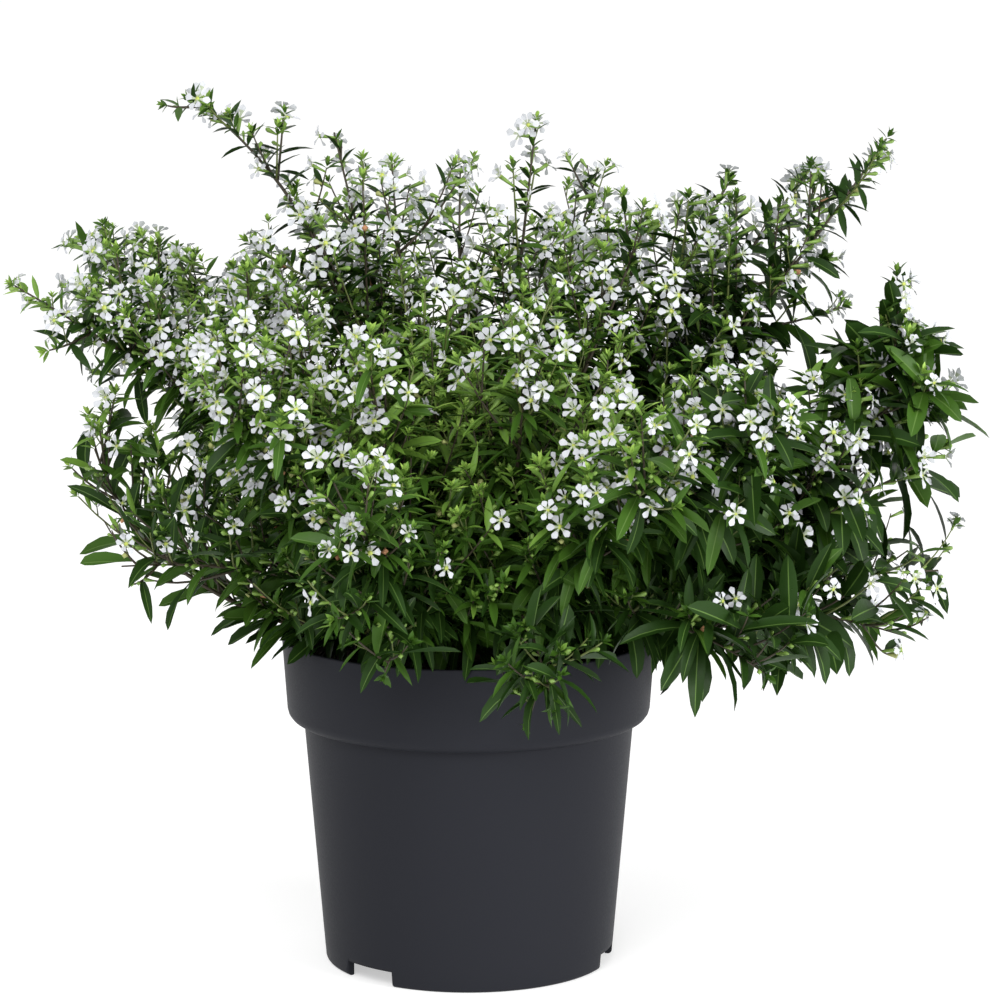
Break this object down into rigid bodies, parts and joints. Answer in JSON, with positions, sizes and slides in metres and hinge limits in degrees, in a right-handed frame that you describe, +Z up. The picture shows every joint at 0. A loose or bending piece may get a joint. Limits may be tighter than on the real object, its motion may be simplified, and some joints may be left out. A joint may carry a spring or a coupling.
{
  "type": "potted cuphea shrub in flower",
  "caption": "Bushy false heather shrub with white blossom and narrow leaves, in a round tapered nursery pot with a deep collar",
  "frame": {"origin": "middle of the pot's flat underside, on the pot's axis", "axes": "+Z up along the pot's axis, +X to the right and +Y to the back as the picture sees the plant"},
  "size_m": [0.3435, 0.3072, 0.3136],
  "materials": {
    "pot_plastic": "satin",
    "potting_soil": "matte",
    "bark": "matte",
    "leaves": "satin",
    "blossom": "matte"
  },
  "bodies": {
    "root": {"pot": "pot_plastic", "soil": "potting_soil", "trunk": "bark", "bough_back_high_left": "bark", "bough_back_high_right": "bark", "bough_back_low": "bark", "bough_back_low_left": "bark", "bough_back_low_right": "bark", "bough_front_centre": "bark", "bough_front_left": "bark", "bough_front_left_low": "bark", "bough_front_left_out": "bark", "bough_front_right": "bark", "bough_front_right_mid": "bark", "bough_left_arch_far": "bark", "bough_left_arch_high": "bark", "bough_left_rise": "bark", "bough_left_upper": "bark", "bough_right_arch_high": "bark", "bough_right_rise": "bark", "bough_right_tall": "bark", "bough_right_upper": "bark", "bough_top_back": "bark", "bough_top_centre": "bark", "bough_top_left": "bark", "bough_top_left_mid": "bark", "bough_top_right": "bark", "bough_top_right_mid": "bark", "foliage_back_high_left": "leaves", "foliage_back_high_right": "leaves", "foliage_back_low": "leaves", "foliage_back_low_left": "leaves", "foliage_back_low_right": "leaves", "foliage_front_centre": "leaves", "foliage_front_left": "leaves", "foliage_front_left_low": "leaves", "foliage_front_left_out": "leaves", "foliage_front_low": "leaves", "foliage_front_right": "leaves", "foliage_front_right_low": "leaves", "foliage_front_right_mid": "leaves", "foliage_front_skirt": "leaves", "foliage_left_arch_far": "leaves", "foliage_left_arch_high": "leaves", "foliage_left_low": "leaves", "foliage_left_rise": "leaves", "foliage_left_upper": "leaves", "foliage_right_arch_high": "leaves", "foliage_right_low": "leaves", "foliage_right_rise": "leaves", "foliage_right_skirt": "leaves", "foliage_right_tall": "leaves", "foliage_right_upper": "leaves", "foliage_top_back": "leaves", "foliage_top_centre": "leaves", "foliage_top_left": "leaves", "foliage_top_left_mid": "leaves", "foliage_top_right": "leaves", "foliage_top_right_mid": "leaves"}
  },
  "joints": []
}
